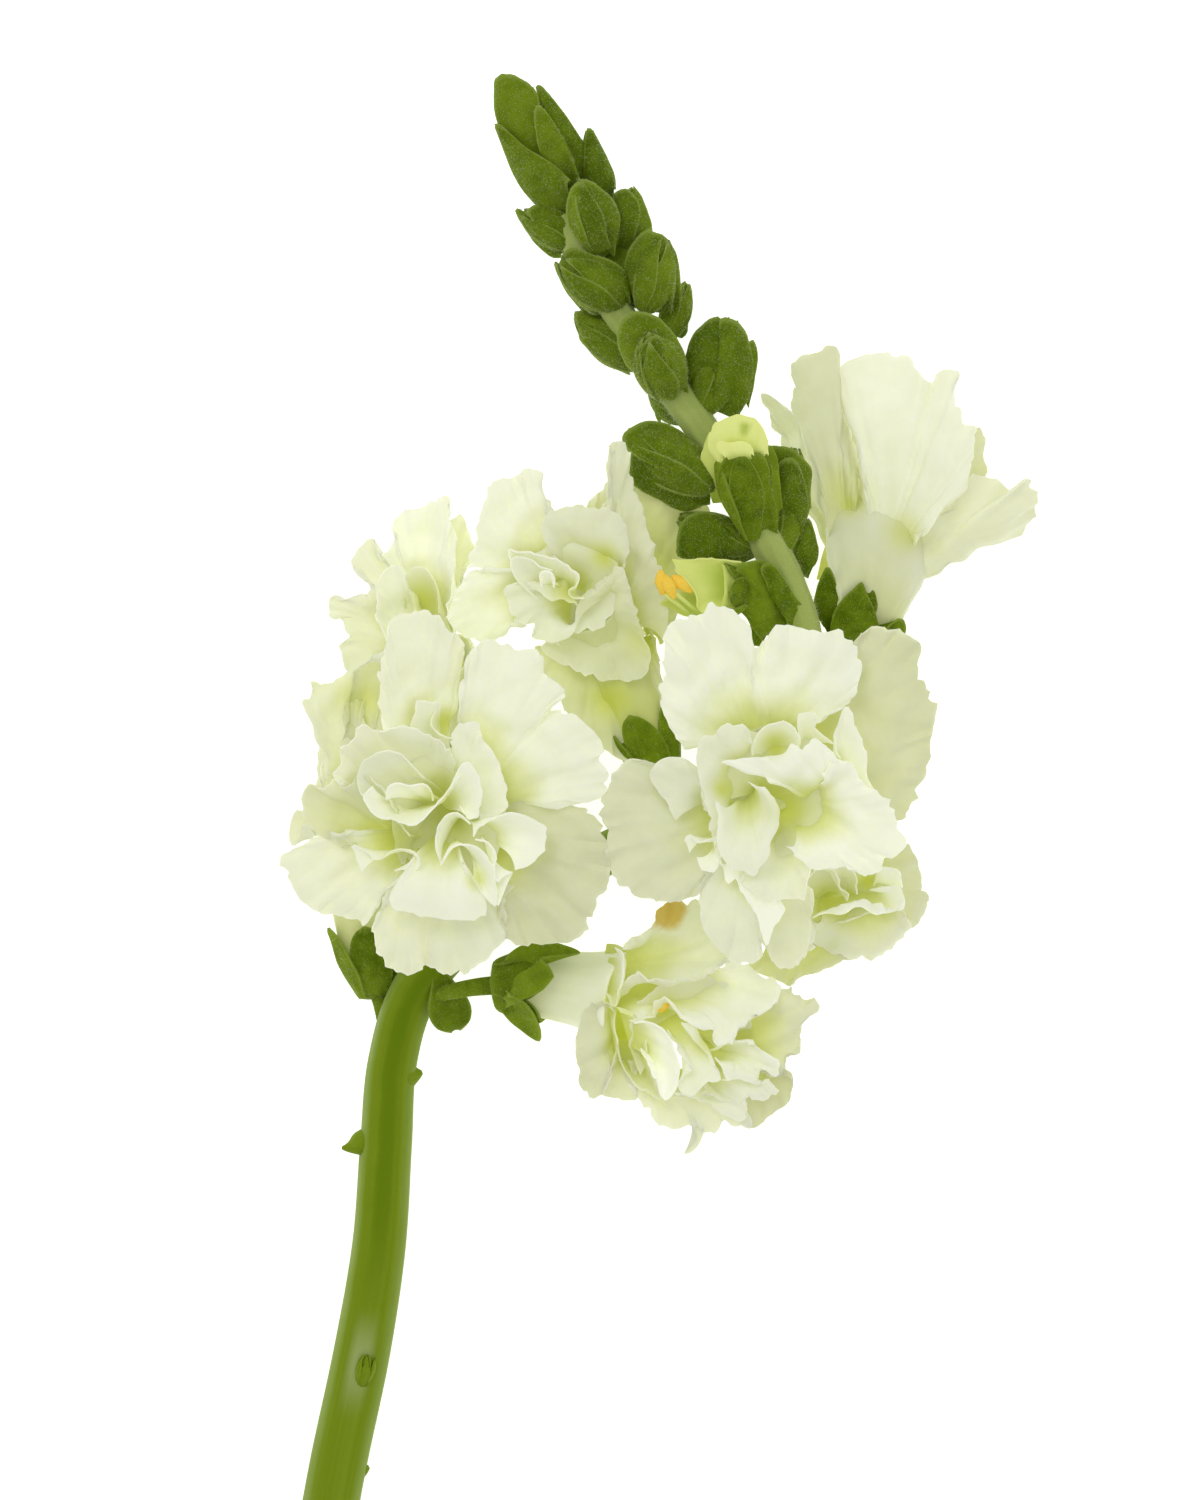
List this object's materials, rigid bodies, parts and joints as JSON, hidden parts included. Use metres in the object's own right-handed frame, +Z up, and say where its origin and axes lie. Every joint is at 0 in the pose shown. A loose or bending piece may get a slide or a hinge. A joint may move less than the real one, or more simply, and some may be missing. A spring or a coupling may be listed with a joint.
{
  "type": "snapdragon stem",
  "caption": "Cut snapdragon stem lying down, with double ruffled cream flowers, a torn young flower and a curved spike of green buds.",
  "frame": {"origin": "on the surface the stem lies on, under the middle of its bounding box", "axes": "+Z up from the surface, +Y from the cut end towards the tip of the bud spike, +X to the right seen from above"},
  "size_m": [0.1042, 0.2103, 0.0562],
  "materials": {
    "stem": "satin",
    "calyx": "satin",
    "bud": "satin",
    "petal": "matte",
    "young_petal": "satin",
    "anther": "matte"
  },
  "bodies": {
    "root": {"stem": "stem", "tip_buds": "bud", "bud_01": "bud", "bud_02": "bud", "bud_03": "bud", "bud_04": "bud", "bud_05": "bud", "bud_06": "bud", "bud_07": "bud", "bud_08": "bud", "bud_09": "bud", "bud_10": "bud", "bud_11": "bud", "bud_12": "bud", "bud_13": "bud", "calyx_opening_bud": "calyx", "petals_opening_bud": "young_petal", "anthers": "anther", "calyx_front_left": "calyx", "corolla_front_left": "petal", "calyx_front_right": "calyx", "corolla_front_right": "petal", "calyx_right_low": "calyx", "corolla_right_low": "petal", "calyx_low_right": "calyx", "corolla_low_right": "petal", "calyx_top_right": "calyx", "corolla_top_right": "petal", "calyx_middle_top": "calyx", "corolla_middle_top": "petal", "calyx_left_top": "calyx", "corolla_left_top": "petal", "calyx_far_left": "calyx", "corolla_far_left": "petal", "calyx_torn_young": "calyx", "corolla_torn_young": "young_petal"}
  },
  "joints": []
}
